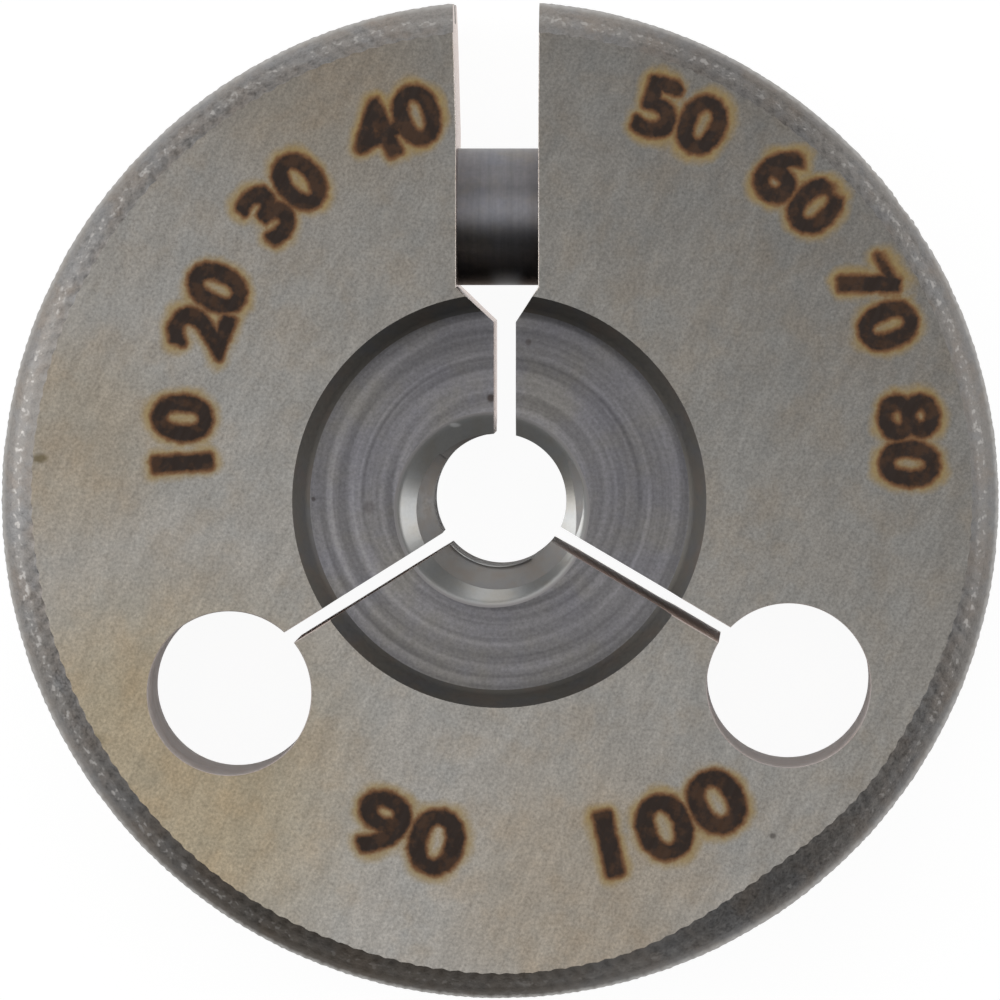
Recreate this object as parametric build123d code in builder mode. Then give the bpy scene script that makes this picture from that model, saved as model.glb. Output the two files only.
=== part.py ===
from build123d import *
import math
import os

# Adjustable thread ring gauge for an 8-32 screw: the NOT GO member of the pair.
#
# A hardened ring has the gauging bore in a shallow recess at its middle.  Two closed slots and
# one open slot divide the ring into three springy lobes, and a locking device of three pieces
# crosses the open slot: a plain sleeve keeps the lobes in line, a hollow adjusting screw pushes
# them apart through the sleeve, and a locking screw down its middle pulls them together again.
#
# The ring lies flat on its lower face.  Z is the axis of the gauging bore, the open slot points
# to +Y, and the locking device runs along X, with its screw heads at +X.  Sizes are in
# millimetres and angles in degrees from +X.

os.makedirs("parts", exist_ok=True)

# --- Ring blank ---
ring_dia = 25.4
ring_thickness = 7.14
rim_chamfer = 0.75
groove_width = 1.6  # the groove round the rim tells a NOT GO ring from a GO ring by touch
groove_depth = 0.5

# --- Gauging bore: 32 threads to the inch, modelled plain at the truncated crests ---
thread_pitch = 25.4 / 32
thread_angle = 60
thread_pitch_dia = 3.553
crest_share = 0.25  # pitch diameter less crest diameter, as a share of the sharp thread's height
countersink_dia = 4.72
countersink_angle = 90

# --- Recess round the bore, the same on both faces ---
recess_dia = 10.5
recess_floor_dia = 9.7
recess_depth = 0.7

# --- Open slot: wide under the locking device, then a V down to a narrow cut ---
wide_slot_width = 2.12
funnel_gap = 0.03  # the V begins this far below the sleeve
funnel_depth = 0.89
narrow_slot_width = 0.56
narrow_slot_offset = 0.18  # the narrow cut runs a little to +X of the wide slot's middle

# --- Closed slots, each ending in a relief hole that lets its web bend ---
left_slot_angle = 212.0
left_slot_width = 0.4
left_relief_angle = 215.5
left_web = 2.23  # the metal that bends, between the relief hole and the rim
right_slot_angle = -30.5
right_slot_width = 0.48
right_relief_angle = -32.0
right_web = 1.95
relief_dia = 4.1

# --- Locking device, along X at mid thickness ---
device_inset = 5.5  # from the rim in to the device's axis
sleeve_dia = 3.5
sleeve_length = 7.4
sleeve_edge = 0.15
sleeve_clearance = 0.02
screw_clearance = 0.05  # radial, between each screw's crests and its tapped hole
pass_clearance = 0.15  # radial, round the locking screw inside the sleeve and adjusting screw

adjusting_dia = 4.8
adjusting_length = 4.2
adjusting_sink = 0.5  # below the lowest point of its hole's mouth in the rim
adjusting_runout = 0.4  # tapped depth beyond the adjusting screw's inner end
adjusting_edge = 0.3
adjusting_slot_width = 0.8
adjusting_slot_depth = 0.7

locking_dia = 2.18
locking_grip = 3.6  # thread held in the left lobe, beyond the sleeve's shoulder
locking_edge = 0.3
head_dia = 3.3
head_height = 1.2
head_clearance = 0.1
head_sink = 0.3  # below the adjusting screw's outer face
head_edge = 0.15
head_slot_width = 0.5
head_slot_depth = 0.5

# --- Derived sizes ---
ring_radius = ring_dia / 2
half_thickness = ring_thickness / 2
sharp_thread_height = thread_pitch / 2 / math.tan(math.radians(thread_angle / 2))
bore_radius = (thread_pitch_dia - crest_share * sharp_thread_height) / 2
countersink_run = countersink_dia / 2 - bore_radius
countersink_depth = countersink_run / math.tan(math.radians(countersink_angle / 2))

device_y = ring_radius - device_inset
mouth_low_x = math.sqrt(ring_radius**2 - (device_y + adjusting_dia / 2) ** 2)
adjusting_head_x = mouth_low_x - adjusting_sink
sleeve_right_x = adjusting_head_x - adjusting_length  # the adjusting screw bears on it here
sleeve_left_x = sleeve_right_x - sleeve_length  # and the sleeve on its shoulder here
locking_tip_x = sleeve_left_x - locking_grip
head_seat_x = adjusting_head_x - head_sink - head_height
passage_radius = locking_dia / 2 + pass_clearance
cross_plane = Plane(origin=(0, device_y, half_thickness), x_dir=(0, 1, 0), z_dir=(1, 0, 0))

# ---------------------------------------------------------------------------
# Ring body: turned, then slotted, drilled across and hardened, all in one piece
# ---------------------------------------------------------------------------
mid_section = Plane(origin=(0, 0, half_thickness), x_dir=(1, 0, 0), z_dir=(0, -1, 0))
floor_above_mid = half_thickness - recess_depth
groove_floor_radius = ring_radius - groove_depth
funnel_mouth_y = device_y - sleeve_dia / 2 - funnel_gap
funnel_foot_y = funnel_mouth_y - funnel_depth
narrow_left_x = narrow_slot_offset - narrow_slot_width / 2
narrow_right_x = narrow_slot_offset + narrow_slot_width / 2
left_relief_radius = ring_radius - left_web - relief_dia / 2
right_relief_radius = ring_radius - right_web - relief_dia / 2
left_slot_reach = left_relief_radius * math.cos(math.radians(left_relief_angle - left_slot_angle))
right_slot_reach = right_relief_radius * math.cos(math.radians(right_relief_angle - right_slot_angle))
sleeve_hole_radius = sleeve_dia / 2 + sleeve_clearance
locking_hole_radius = locking_dia / 2 + screw_clearance
adjusting_hole_radius = adjusting_dia / 2 + screw_clearance
adjusting_hole_x = sleeve_right_x - adjusting_runout

with BuildPart() as ring_body:
    # Half of the turned section, from the bore out to the rim, mirrored about mid thickness.
    with BuildSketch(mid_section):
        with BuildLine():
            Polyline(
                (bore_radius, 0),
                (bore_radius, floor_above_mid - countersink_depth),
                (countersink_dia / 2, floor_above_mid),
                (recess_floor_dia / 2, floor_above_mid),
                (recess_dia / 2, half_thickness),
                (ring_radius - rim_chamfer, half_thickness),
                (ring_radius, half_thickness - rim_chamfer),
                (ring_radius, groove_width / 2),
                (groove_floor_radius, groove_width / 2),
                (groove_floor_radius, 0),
                close=True,
            )
        make_face()
        mirror(about=Plane.XZ)
    revolve(axis=Axis.Z)

    # The open slot, its V and the narrow cut that reaches the bore.
    with BuildSketch(Plane.XY):
        with BuildLine():
            Polyline(
                (-wide_slot_width / 2, ring_radius),
                (-wide_slot_width / 2, funnel_mouth_y),
                (narrow_left_x, funnel_foot_y),
                (narrow_left_x, 0),
                (narrow_right_x, 0),
                (narrow_right_x, funnel_foot_y),
                (wide_slot_width / 2, funnel_mouth_y),
                (wide_slot_width / 2, ring_radius),
                close=True,
            )
        make_face()
    extrude(amount=ring_thickness, mode=Mode.SUBTRACT)

    # The two closed slots, from the bore to beside the middles of their relief holes.
    with BuildSketch(Plane.XY):
        Rectangle(left_slot_reach, left_slot_width, rotation=left_slot_angle,
                  align=(Align.MIN, Align.CENTER))
        Rectangle(right_slot_reach, right_slot_width, rotation=right_slot_angle,
                  align=(Align.MIN, Align.CENTER))
        with PolarLocations(left_relief_radius, 1, start_angle=left_relief_angle):
            Circle(relief_dia / 2)
        with PolarLocations(right_relief_radius, 1, start_angle=right_relief_angle):
            Circle(relief_dia / 2)
    extrude(amount=ring_thickness, mode=Mode.SUBTRACT)

    # The stepped cross hole: tapped through the left lobe for the locking screw, bored for the
    # sleeve on both sides of the slot, tapped from the right for the adjusting screw.
    with BuildSketch(cross_plane.offset(-ring_radius)):
        Circle(locking_hole_radius)
    extrude(amount=ring_dia, mode=Mode.SUBTRACT)
    with BuildSketch(cross_plane.offset(sleeve_left_x)):
        Circle(sleeve_hole_radius)
    extrude(amount=ring_radius - sleeve_left_x, mode=Mode.SUBTRACT)
    with BuildSketch(cross_plane.offset(adjusting_hole_x)):
        Circle(adjusting_hole_radius)
    extrude(amount=ring_radius - adjusting_hole_x, mode=Mode.SUBTRACT)

ring_body.part.label = "ring_body"
export_step(ring_body.part, "parts/ring_body.step")

# ---------------------------------------------------------------------------
# Alignment sleeve: a plain ground tube that bridges the open slot
# ---------------------------------------------------------------------------
with BuildPart() as alignment_sleeve:
    with BuildSketch(cross_plane.offset(sleeve_left_x)):
        Circle(sleeve_dia / 2)
        Circle(passage_radius, mode=Mode.SUBTRACT)
    extrude(amount=sleeve_length)
    sleeve_rims = alignment_sleeve.edges().filter_by(GeomType.CIRCLE).group_by(SortBy.RADIUS)[-1]
    chamfer(sleeve_rims, sleeve_edge)

alignment_sleeve.part.label = "alignment_sleeve"
export_step(alignment_sleeve.part, "parts/alignment_sleeve.step")

# ---------------------------------------------------------------------------
# Adjusting screw: hollow, headless and slotted, its inner end bearing on the sleeve
# ---------------------------------------------------------------------------
with BuildPart() as adjusting_screw:
    with BuildSketch(cross_plane.offset(sleeve_right_x)):
        Circle(adjusting_dia / 2)
    extrude(amount=adjusting_length)
    chamfer(adjusting_screw.edges().filter_by(GeomType.CIRCLE), adjusting_edge)
    with Locations(cross_plane.offset(adjusting_head_x)):
        CounterBoreHole(passage_radius, head_dia / 2 + head_clearance, head_sink + head_height)
    # The driver slot crosses the rim that is left round the counterbore.
    with BuildSketch(cross_plane.offset(adjusting_head_x)):
        Rectangle(adjusting_dia, adjusting_slot_width)
    extrude(amount=-adjusting_slot_depth, mode=Mode.SUBTRACT)

adjusting_screw.part.label = "adjusting_screw"
export_step(adjusting_screw.part, "parts/adjusting_screw.step")

# ---------------------------------------------------------------------------
# Locking screw: its head seats in the adjusting screw, its tip is held by the left lobe
# ---------------------------------------------------------------------------
with BuildPart() as locking_screw:
    with BuildSketch(cross_plane.offset(locking_tip_x)):
        Circle(locking_dia / 2)
    extrude(amount=head_seat_x - locking_tip_x)
    chamfer(locking_screw.edges().filter_by(GeomType.CIRCLE).sort_by(Axis.X)[0], locking_edge)
    with BuildSketch(cross_plane.offset(head_seat_x)):
        Circle(head_dia / 2)
    extrude(amount=head_height)
    chamfer(locking_screw.edges().filter_by(GeomType.CIRCLE).sort_by(Axis.X)[-1], head_edge)
    with BuildSketch(cross_plane.offset(head_seat_x + head_height)):
        Rectangle(head_dia, head_slot_width)
    extrude(amount=-head_slot_depth, mode=Mode.SUBTRACT)

locking_screw.part.label = "locking_screw"
export_step(locking_screw.part, "parts/locking_screw.step")
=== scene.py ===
from math import cos, hypot, pi, radians, sin, sqrt, tan, tau

import bmesh
import bpy
import numpy as np
from mathutils import Matrix, Vector
from mathutils.geometry import delaunay_2d_cdt


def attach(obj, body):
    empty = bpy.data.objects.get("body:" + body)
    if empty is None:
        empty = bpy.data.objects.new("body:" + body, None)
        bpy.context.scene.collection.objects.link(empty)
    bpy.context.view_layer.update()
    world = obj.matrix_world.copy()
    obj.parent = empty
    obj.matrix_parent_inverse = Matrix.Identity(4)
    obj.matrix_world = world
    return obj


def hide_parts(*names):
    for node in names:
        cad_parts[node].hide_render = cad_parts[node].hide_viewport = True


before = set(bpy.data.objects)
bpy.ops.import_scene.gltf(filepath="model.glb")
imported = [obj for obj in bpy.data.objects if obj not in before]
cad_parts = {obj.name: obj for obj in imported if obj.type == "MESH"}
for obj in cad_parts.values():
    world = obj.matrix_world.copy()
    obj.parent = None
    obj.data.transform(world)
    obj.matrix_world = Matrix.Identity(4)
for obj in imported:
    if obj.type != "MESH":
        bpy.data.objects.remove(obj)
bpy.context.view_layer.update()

# ------------------------------------------------
# Ring body, the blank
# One ring of hardened tool steel, turned from bar.  Its rim is chamfered, grooved and then
# diamond knurled for grip, and the knurling tool runs out over the chamfers.  The blank is left
# thick, so that the last grinding of the faces cuts the knurl back to a ragged edge.
# Everything is drawn in millimetres and brought to metres as each piece is finished.
ring_radius = 12.695
ring_thickness = 7.14
middle = ring_thickness / 2
rim_chamfer = 0.75
grinding_stock = 0.3
groove_width = 1.6
groove_depth = 0.5
diamonds_round = 180
diamonds_to_face = 4  # from the groove, over the land and the chamfer, to the face
columns_per_diamond = 4
knurl_depth = 0.055
knurl_depth_on_chamfer = 0.018
knurl_depth_at_face = 0.085
crest_left = 0.6  # the share of each slope that is left below the flat crest
unevenness = 0.9
rolled_corner = 0.32  # the knurling tool rolls the corner of land and chamfer round
# The blank ran a little out of true, so its chamfers are broad in some places and slight in
# others: each such place by its bearing and spread in degrees, and its share more or less.
chamfer_runout = ((305, 21, 0.38), (330, 26, 0.15), (200, 45, 0.11), (270, 24, -0.11), (20, 75, -0.12))


def placed(name, data):
    """A new object in the scene."""
    made = bpy.data.objects.new(name, data)
    bpy.context.scene.collection.objects.link(made)
    return made


def emptied(owner):
    """The node tree of a material or a world, cleared."""
    owner.use_nodes = True
    owner.node_tree.nodes.clear()
    return owner.node_tree


def plain_mesh(solid):
    """The mesh that an object has once its modifiers, or its curves, are worked out."""
    return bpy.data.meshes.new_from_object(solid.evaluated_get(bpy.context.evaluated_depsgraph_get()))


def turned(name, profile, columns, press=None):
    """A closed solid turned about Z from (radius, height) points; a radius of 0 is a pole.

    A profile that ends where it starts turns into a tube.  Press holds, for each point, how far
    the knurling tool may push it (by radius and height) and its distance along the rim.
    """
    closed = profile[0] == profile[-1]
    if closed:
        profile = profile[:-1]
    points, rows, pushes, along = [], [], [], []
    angles = np.arange(columns) * tau / columns
    for step, (radius, height) in enumerate(profile):
        here = angles if radius > 0 else angles[:1]
        rows.append(range(len(points), len(points) + len(here)))
        for angle in here:
            points.append((radius * cos(angle), radius * sin(angle), height))
            if press:
                inward_radius, inward_height, distance = press[step]
                pushes.append((inward_radius * cos(angle), inward_radius * sin(angle), inward_height))
                along.append(distance)
    if closed:
        rows.append(rows[0])
    faces = []
    for low, high in zip(rows, rows[1:]):
        for column in range(columns):
            after = (column + 1) % columns
            if len(low) == 1:
                faces.append((low[0], high[after], high[column]))
            elif len(high) == 1:
                faces.append((low[column], low[after], high[0]))
            else:
                faces.append((low[column], low[after], high[after], high[column]))
    mesh = bpy.data.meshes.new(name)
    mesh.from_pydata(points, [], faces)
    if press:
        mesh.attributes.new("push", "FLOAT_VECTOR", "POINT").data.foreach_set(
            "vector", np.array(pushes, np.float32).ravel())
        mesh.attributes.new("along", "FLOAT", "POINT").data.foreach_set("value", np.array(along, np.float32))
    shell = bmesh.new()
    shell.from_mesh(mesh)
    bmesh.ops.recalc_face_normals(shell, faces=shell.faces)
    shell.to_mesh(mesh)
    shell.free()
    return placed(name, mesh)


def feed(tree, made, feeds):
    """Feeds the inputs of a node with values or other sockets."""
    for key, value in feeds.items():
        if isinstance(value, bpy.types.NodeSocket):
            tree.links.new(value, made.inputs[key])
        else:
            made.inputs[key].default_value = value


def node(tree, kind, feeds=None, **settings):
    """Adds a node, sets its properties, and feeds its inputs."""
    made = tree.nodes.new(kind)
    for key, value in settings.items():
        setattr(made, key, value)
    feed(tree, made, feeds or {})
    return made


def get(tree, kind, feeds=None, **settings):
    """The first output of a new node."""
    return node(tree, kind, feeds, **settings).outputs[0]


def calc(tree, operation, *values):
    """The result of a Math node."""
    return get(tree, "ShaderNodeMath", dict(enumerate(values)), operation=operation)


def times(tree, first, second):
    """A product."""
    return calc(tree, "MULTIPLY", first, second)


def plus(tree, first, second):
    """A sum."""
    return calc(tree, "ADD", first, second)


def minus(tree, first, second):
    """A difference."""
    return calc(tree, "SUBTRACT", first, second)


def apart(tree, value, other):
    """How far two values lie apart."""
    return calc(tree, "ABSOLUTE", minus(tree, value, other))


def swing(tree, value, amount):
    """A value between 0 and 1 made into a swing either way."""
    return times(tree, minus(tree, value, 0.5), amount)


def vector_calc(tree, operation, *vectors, result="Vector"):
    """The result of a Vector Math node."""
    made = node(tree, "ShaderNodeVectorMath", dict(enumerate(vectors)), operation=operation)
    return made.outputs[result]


def measured(tree, operation, *vectors):
    """A LENGTH or a DISTANCE."""
    return vector_calc(tree, operation, *vectors, result="Value")


def axes(tree, vector):
    """The X, Y and Z of a vector."""
    return node(tree, "ShaderNodeSeparateXYZ", {0: vector}).outputs


def joined(tree, x, y, z=0.0):
    """A vector from its X, Y and Z."""
    return get(tree, "ShaderNodeCombineXYZ", {0: x, 1: y, 2: z})


def ramp(tree, value, low, high, from_value=0.0, to_value=1.0):
    """A value stretched so that low gives from_value and high gives to_value, smoothly, held beyond."""
    return get(tree, "ShaderNodeMapRange", {0: value, 1: low, 2: high, 3: from_value, 4: to_value},
               interpolation_type="SMOOTHSTEP")


def new_tree(name, kind, inputs, outputs):
    """A node group, with its sockets in and out given by name and type."""
    tree = bpy.data.node_groups.new(name, kind)
    for way, sockets in (("INPUT", inputs), ("OUTPUT", outputs)):
        for label, socket_type in sockets.items():
            tree.interface.new_socket(label, in_out=way, socket_type=socket_type)
    return tree, node(tree, "NodeGroupInput").outputs, node(tree, "NodeGroupOutput").inputs


def end_tree(tree, geometry, finish, result):
    """Ends a geometry tree: what is placed is made real and given its finish."""
    real = node(tree, "GeometryNodeRealizeInstances", {0: geometry})
    finished = node(tree, "GeometryNodeSetMaterial", {"Geometry": real.outputs[0], "Material": finish})
    tree.links.new(finished.outputs[0], result[0])


def shaped(solid, tree, sizes):
    """Runs a geometry tree on a solid, with its sizes by name, and keeps the plain mesh."""
    modifier = solid.modifiers.new(tree.name, "NODES")
    modifier.node_group = tree
    for item in tree.interface.items_tree:
        if item.in_out == "INPUT" and item.name in sizes:
            modifier[item.identifier] = sizes[item.name]
    plain = plain_mesh(solid)
    solid.modifiers.remove(modifier)
    solid.data = plain
    return solid


FLOAT, INT, VECTOR = "NodeSocketFloat", "NodeSocketInt", "NodeSocketVector"
GEOMETRY, MATERIAL = "NodeSocketGeometry", "NodeSocketMaterial"

# The rim's section, from the middle of the groove up over the land and the chamfer: the radius
# and height of each row, the tilt of the surface there, and how deep the knurl is.
land_rows, corner_rows, chamfer_rows = 9, 4, 10
land_top = middle - rim_chamfer
land_edge = land_top - rolled_corner
chamfer_tilt = radians(45)
groove_floor = ring_radius - groove_depth
half_rim = [(groove_floor, 0.0, 0.0, 0.0), (groove_floor, groove_width / 2, 0.0, 0.0)]
for row in range(land_rows + 1):
    height = groove_width / 2 + (land_edge - groove_width / 2) * row / land_rows
    half_rim.append((ring_radius, height, 0.0, knurl_depth))
for row in range(1, corner_rows + 1):
    share = row / corner_rows
    turn_in = rolled_corner * sin(chamfer_tilt) * share ** 2
    height = land_edge + rolled_corner * (2 * share * (1 - share) + share ** 2) + turn_in
    half_rim.append((ring_radius - turn_in, height, chamfer_tilt * share,
                     knurl_depth + (knurl_depth_on_chamfer - knurl_depth) * share))
chamfer_start = rolled_corner * sin(chamfer_tilt)
for row in range(1, chamfer_rows + 1):
    share = row / chamfer_rows
    out = chamfer_start + (rim_chamfer + grinding_stock - chamfer_start) * share
    half_rim.append((ring_radius - out, land_top + out, chamfer_tilt,
                     knurl_depth_on_chamfer + (knurl_depth_at_face - knurl_depth_on_chamfer) * share ** 3))
travelled = [0.0, 0.0, 0.0]
for before, here in zip(half_rim[2:], half_rim[3:]):
    travelled.append(travelled[-1] + hypot(here[0] - before[0], here[1] - before[1]))
diamond_height = (travelled[-1] - grinding_stock / cos(chamfer_tilt)) / diamonds_to_face
pushed = [(r, h, -depth * cos(tilt), -depth * sin(tilt)) for r, h, tilt, depth in half_rim]
upper = [((r, middle + h), (pr, ph, t)) for (r, h, pr, ph), t in zip(pushed, travelled)]
lower = [((r, middle - h), (pr, -ph, t)) for (r, h, pr, ph), t in zip(pushed[:0:-1], travelled[:0:-1])]
rows = lower + upper[1:]
profile = [(0, -grinding_stock)] + [row[0] for row in rows] + [(0, ring_thickness + grinding_stock)]
press = [(0, 0, 0)] + [row[1] for row in rows] + [(0, 0, 0)]
ring = turned("ring", profile, diamonds_round * columns_per_diamond, press)

# The knurl: pyramids between two families of V grooves that cross as they wind round the rim.
knurl, given, result = new_tree(
    "diamond_knurl", "GeometryNodeTree",
    {"Blank": GEOMETRY, "Diamonds round": FLOAT, "Diamond height": FLOAT, "Crest left": FLOAT,
     "Unevenness": FLOAT, "Rim radius": FLOAT, "Middle": FLOAT, "Land edge": FLOAT, "Finish": MATERIAL},
    {"Knurled": GEOMETRY})
place = get(knurl, "GeometryNodeInputPosition")
x, y, z = axes(knurl, place)
angle = calc(knurl, "ARCTAN2", y, x)
round_count = times(knurl, angle, calc(knurl, "DIVIDE", given["Diamonds round"], pi))
along = get(knurl, "GeometryNodeInputNamedAttribute", {"Name": "along"}, data_type="FLOAT")
up_count = times(knurl, along, calc(knurl, "DIVIDE", 2.0, given["Diamond height"]))
ridges = [minus(knurl, 1.0, calc(knurl, "PINGPONG", crossing, 1.0))
          for crossing in (plus(knurl, round_count, up_count),
                           minus(knurl, round_count, up_count))]
pyramid = calc(knurl, "MINIMUM", *ridges)
pyramid = calc(knurl, "MINIMUM", calc(knurl, "DIVIDE", pyramid, given["Crest left"]), 1.0)
patchy = get(knurl, "ShaderNodeTexNoise", {"Vector": place, "Scale": 1.5, "Detail": 3.0})
chips = node(knurl, "FunctionNodeRandomValue", {"Seed": 5}, data_type="FLOAT").outputs[1]
uneven = times(knurl, given["Unevenness"], plus(knurl, minus(knurl, patchy, 0.5), swing(knurl, chips, 0.25)))
cut = plus(knurl, minus(knurl, 1.0, pyramid), uneven)
cut = get(knurl, "ShaderNodeClamp", {"Value": cut, "Min": 0.0, "Max": 1.3})
push = get(knurl, "GeometryNodeInputNamedAttribute", {"Name": "push"}, data_type="FLOAT_VECTOR")
pushed_in = vector_calc(knurl, "MULTIPLY", push, cut)

# The chamfers turned broader or slighter from place to place.
flat_place = joined(knurl, x, y)
from_axis = measured(knurl, "LENGTH", flat_place)
outwards = vector_calc(knurl, "NORMALIZE", flat_place)
on_chamfer = calc(knurl, "GREATER_THAN", apart(knurl, z, given["Middle"]), given["Land edge"])
on_rim = times(knurl, on_chamfer, calc(knurl, "GREATER_THAN", from_axis, 1.0))
inset = times(knurl, minus(knurl, given["Rim radius"], from_axis), on_rim)
runout = 0.0
for bearing, spread, share in chamfer_runout:
    off_bearing = calc(knurl, "ABSOLUTE", calc(knurl, "WRAP", minus(knurl, angle, radians(bearing)), pi, -pi))
    runout = plus(knurl, runout, ramp(knurl, off_bearing, radians(spread), 0.0, 0.0, -share))
turned_in = vector_calc(knurl, "MULTIPLY", outwards, times(knurl, inset, runout))
moved = node(knurl, "GeometryNodeSetPosition",
             {"Geometry": given["Blank"], "Offset": vector_calc(knurl, "ADD", pushed_in, turned_in)})
split_quads = node(knurl, "GeometryNodeTriangulate", {"Mesh": moved.outputs[0]})
end_tree(knurl, split_quads.outputs[0], given["Finish"], result)
rim_steel = bpy.data.materials.new("knurled_rim")
shaped(ring, knurl, {"Diamonds round": float(diamonds_round), "Diamond height": diamond_height,
                     "Crest left": crest_left, "Unevenness": unevenness, "Rim radius": ring_radius,
                     "Middle": middle, "Land edge": land_edge, "Finish": rim_steel})

# ------------------------------------------------
# Ring body, the cuts
# The gauging bore with its countersinks and the shallow recess round it are turned.  The three
# slots are cut from the bore outwards, two of them ending in drilled relief holes, and the
# stepped hole of the locking device is bored across the open slot.  Threads are chased last.
face_level = ring_thickness
edge_break = 0.02  # every sharp edge of a face is broken by this much
beyond = 1.0  # cutters run this far past the faces
outside = 14  # a distance from the axis that lies clear of the rim
bore_radius = 1.6906
recess_radius = 5.25
recess_floor_radius = 4.85
recess_depth = 0.7
recess_corner = 0.22
floor_level = face_level - recess_depth

countersink_radius = 2.39
countersink_slope = 0.7
countersink_shift = (-0.20, -0.24)  # the countersinks were cut a little out of true with the bore
countersink_foot = 1.4  # the radius that the cutter's cone reaches, inside the bore
lip_softness = 0.12
lip_reach, lip_rise = 0.5, 0.005  # past the lip the cutter skims the floor, and lifts clear of it
cutter_height = 0.3

wide_left, wide_right = -1.10, 0.99
spread_left, spread_right = 0.13, 0.026  # the lobes are sprung apart, by this much at the cutter's end
spread_from_y = 9.4
funnel_mouth_y = 5.42
funnel_foot_y = 4.53
narrow_left, narrow_right = -0.15, 0.41
relief_radius = 2.08

device_y = 7.2
locking_hole_radius = 1.14
sleeve_hole_radius = 1.77
sleeve_shoulder_x = -3.786
adjusting_hole_radius = 2.45
adjusting_hole_x = 3.214
drill_point = 0.5

# Threads: pitch, root radius or depth, and how many straight steps stand for one turn.
gauging_pitch, gauging_root_radius, gauging_steps = 0.79375, 2.13, 120
adjusting_pitch, adjusting_thread_depth, adjusting_steps = 0.635, 0.3, 72
locking_pitch, locking_thread_depth, locking_steps = 0.4536, 0.2, 48
gauging_start = 0.054
thread_runout = 0.4
tapped_to = 13.2  # both tapped holes run out through the rim
adjusting_tap_lead, locking_tap_lead = 0.9, 0.3  # not tapped, next to each shoulder
# The feather edge where the gauging thread begins is ground back, which leaves a ledge part way
# round: from this bearing, over this share of a turn, and set a little out of true.
blunt_pitch, blunt_root_radius, blunt_from, blunt_turns, blunt_height = 0.56, 2.29, 140, 0.53, 5.925
blunt_shift = (-0.02, -0.08)


def eased(profile, corner, reach, steps=4):
    """The profile with one corner rounded off, from `reach` before it to `reach` after it."""
    before, at, after = (Vector(p) for p in profile[corner - 1:corner + 2])
    start = at + (before - at).normalized() * reach
    end = at + (after - at).normalized() * reach
    arc = []
    for step in range(steps + 1):
        t = step / steps
        arc.append(tuple(start * (1 - t) ** 2 + at * 2 * t * (1 - t) + end * t ** 2))
    return profile[:corner] + arc + profile[corner + 1:]


def mirrored(half_profile):
    """A profile from the upper face to mid thickness, carried on to the lower face."""
    return [(r, ring_thickness - z) for r, z in half_profile] + half_profile[-2::-1]


def prism(name, outline, taper=0.0):
    """An upright cutter from an outline drawn anticlockwise, flared where it meets each face.

    Each of its walls may come in by a taper on the way down to the lower face.
    """
    corners = [Vector(p) for p in outline]
    flare = []
    for index, corner in enumerate(corners):
        into = (corner - corners[index - 1]).normalized()
        out = (corners[(index + 1) % len(corners)] - corner).normalized()
        normals = Vector((into.y, -into.x)), Vector((out.y, -out.x))
        flare.append((normals[0] + normals[1]) / (1 + normals[0].dot(normals[1])))
    wide = 2 * edge_break
    levels = [(-beyond, wide), (-edge_break, wide), (edge_break, -taper), (face_level - edge_break, 0),
              (face_level + edge_break, wide), (face_level + beyond, wide)]
    points = [(*(corner + way * grow), height) for height, grow in levels
              for corner, way in zip(corners, flare)]
    count = len(corners)
    faces = [tuple(range(count))[::-1], tuple(range(len(points) - count, len(points)))]
    for level in range(len(levels) - 1):
        for index in range(count):
            a, b = level * count + index, level * count + (index + 1) % count
            faces.append((a, b, b + count, a + count))
    mesh = bpy.data.meshes.new(name)
    mesh.from_pydata(points, [], faces)
    return placed(name, mesh)


def box(name, half_x, half_y, low, high):
    """A box about the Z axis, between two heights."""
    corners = [(x, y, z) for z in (low, high) for x, y in (
        (-half_x, -half_y), (half_x, -half_y), (half_x, half_y), (-half_x, half_y))]
    mesh = bpy.data.meshes.new(name)
    mesh.from_pydata(corners, [], [(3, 2, 1, 0), (4, 5, 6, 7), (0, 1, 5, 4), (1, 2, 6, 5), (2, 3, 7, 6),
                                   (3, 0, 4, 7)])
    return placed(name, mesh)


def finish_with(solid, finish, where=None):
    """Gives the whole solid, or the faces that pass a test on their middle, one finish."""
    solid.data.materials.append(finish)
    slot = len(solid.data.materials) - 1
    for face in solid.data.polygons:
        if where is None or where(hypot(face.center.x, face.center.y), face.center.z):
            face.material_index = slot
    return solid


(turned_steel, shaded_wall_steel, lip_steel, thread_steel, open_slot_lit_steel, closed_slot_lit_steel, drilled_lit_steel,
 ground_steel) = (bpy.data.materials.new(name) for name in (
     "turned_recess", "recess_wall", "countersink", "chased_thread", "open_slot_walls_painted_light", "closed_slot_walls_painted_light",
     "drilled_holes", "ground_face"))

recess_slope = (recess_radius - recess_floor_radius) / recess_depth
half_core = [
    (0, face_level + beyond),
    (recess_radius + edge_break + beyond, face_level + beyond),
    (recess_radius - recess_slope * edge_break, face_level - edge_break),
    (recess_floor_radius, floor_level),
    (bore_radius, floor_level),
    (bore_radius, middle),
]
core = finish_with(turned("core", mirrored(eased(half_core, 3, recess_corner)), 256), turned_steel)
finish_with(core, shaded_wall_steel, lambda radius, height: radius > recess_floor_radius - 0.03)
finish_with(core, thread_steel,
            lambda radius, height: radius < bore_radius + 0.01 and 0 < height < face_level)
cuts = [core]

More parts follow.
